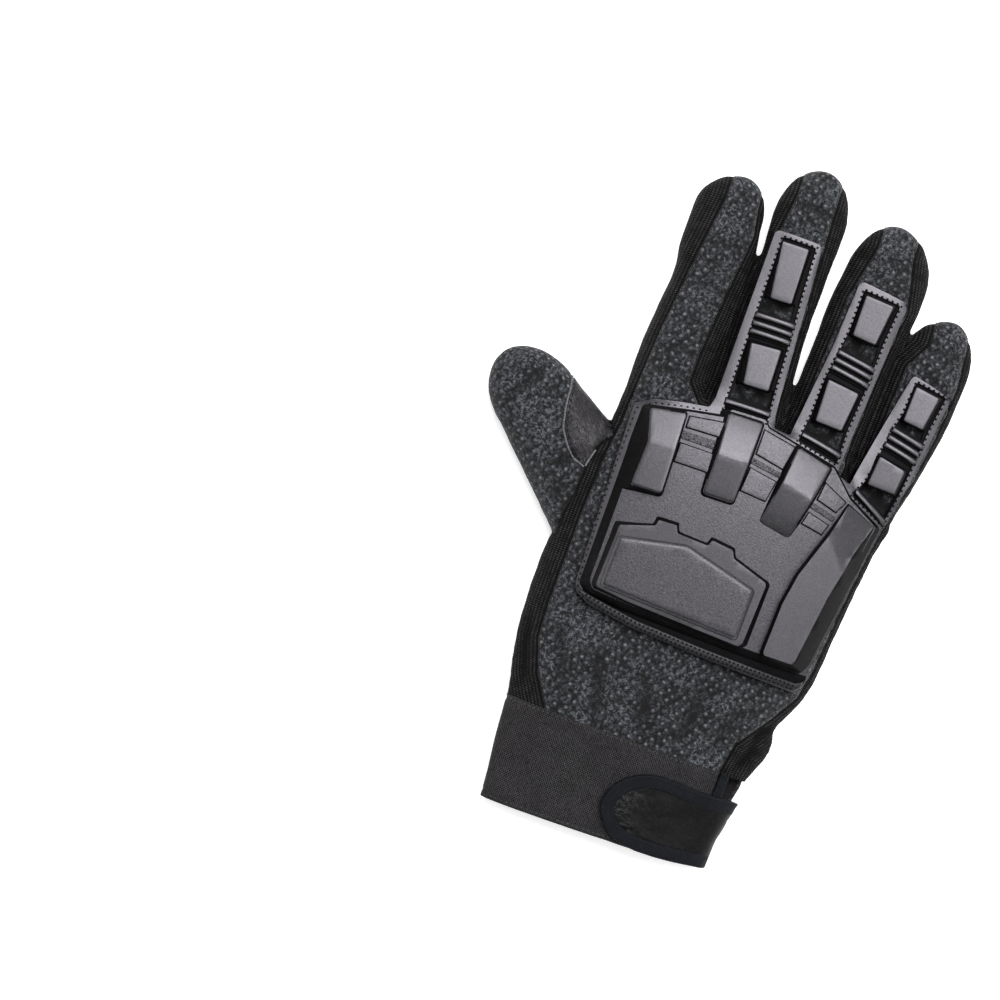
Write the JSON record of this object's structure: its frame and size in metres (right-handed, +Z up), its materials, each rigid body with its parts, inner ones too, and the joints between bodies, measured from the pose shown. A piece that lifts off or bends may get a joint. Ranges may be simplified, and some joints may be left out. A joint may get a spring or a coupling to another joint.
{
  "type": "protective glove",
  "caption": "Work glove for the right hand, with a leather palm, dotted knit back, moulded knuckle guard, ribbed finger sides and an elastic cuff with a closing strap.",
  "frame": {"origin": "on the surface that the glove lies on, under the middle of the palm", "axes": "+Y to the fingertips, +X to the little finger, +Z up through the back of the hand"},
  "size_m": [0.162, 0.2518, 0.0292],
  "materials": {
    "palm_leather": "soft black grain leather with a low sheen",
    "patch_leather": "the same black grain leather, sewn on as a second layer",
    "dotted_knit": "fuzzy black knit with rows of small raised grey dots",
    "ribbed_knit": "black stretch knit with fine ribs",
    "moulded_guard": "satin moulded rubber with a fine grain",
    "elastic": "black woven elastic",
    "binding_tape": "blue-black ribbed binding tape",
    "strap_leather": "black synthetic leather with a soft crease"
  },
  "bodies": {
    "root": {"palm_leather": "palm_leather", "palm_patch": "patch_leather", "back_panel": "dotted_knit", "thumb_back": "dotted_knit", "thumb_gusset": "palm_leather", "index_side_gusset": "ribbed_knit", "index_middle_fourchette": "ribbed_knit", "middle_ring_fourchette": "ribbed_knit", "ring_little_fourchette": "ribbed_knit", "little_side_gusset": "ribbed_knit", "knuckle_guard": "moulded_guard", "cuff_band": "elastic", "slit_binding": "binding_tape", "strap": "strap_leather", "strap_binding": "binding_tape"}
  },
  "joints": []
}
